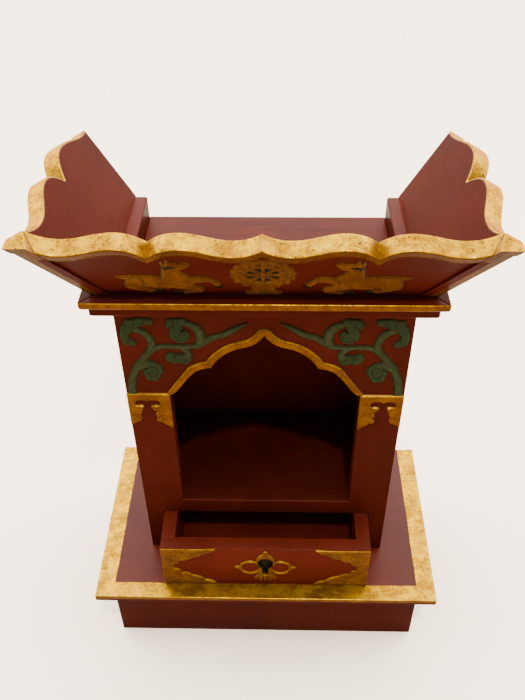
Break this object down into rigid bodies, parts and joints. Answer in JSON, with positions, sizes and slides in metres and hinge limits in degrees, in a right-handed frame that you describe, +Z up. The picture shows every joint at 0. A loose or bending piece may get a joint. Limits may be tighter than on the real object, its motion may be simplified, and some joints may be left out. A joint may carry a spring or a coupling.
{
  "type": "home altar",
  "caption": "Small carved wooden home altar: hollow plinth, cabinet with an arched niche and a sliding drawer, and an open scalloped tray on top.",
  "frame": {"origin": "on the ground under the middle of the altar's outer box", "axes": "+Z up, the carved front looks along -Y, +X to the right seen from the front"},
  "size_m": [0.3266, 0.186, 0.4738],
  "materials": {
    "red_paint": "deep red satin paint on wood",
    "gold_leaf": "worn gold leaf on carved wood"
  },
  "bodies": {
    "cabinet": {"plinth_front": "red_paint", "plinth_left": "red_paint", "plinth_right": "red_paint", "plinth_back": "red_paint", "base_board": "red_paint", "cabinet_left_side": "red_paint", "cabinet_right_side": "red_paint", "cabinet_back": "red_paint", "niche_floor": "red_paint", "tray_floor": "red_paint", "front_frame": "red_paint", "lower_moulding_front": "red_paint", "lower_moulding_left": "red_paint", "lower_moulding_right": "red_paint", "cap_moulding_front": "gold_leaf", "cap_moulding_left": "gold_leaf", "cap_moulding_right": "gold_leaf", "tray_front_panel": "gold_leaf", "tray_left_panel": "gold_leaf", "tray_right_panel": "gold_leaf"},
    "drawer": {"drawer_front": "red_paint", "drawer_left_side": "red_paint", "drawer_right_side": "red_paint", "drawer_back": "red_paint", "drawer_bottom": "red_paint"}
  },
  "joints": [
    {"name": "drawer_slide", "type": "slide", "parent": "cabinet", "child": "drawer", "axis": [0, -1, 0], "range_m": [-0.041, 0.045]}
  ]
}
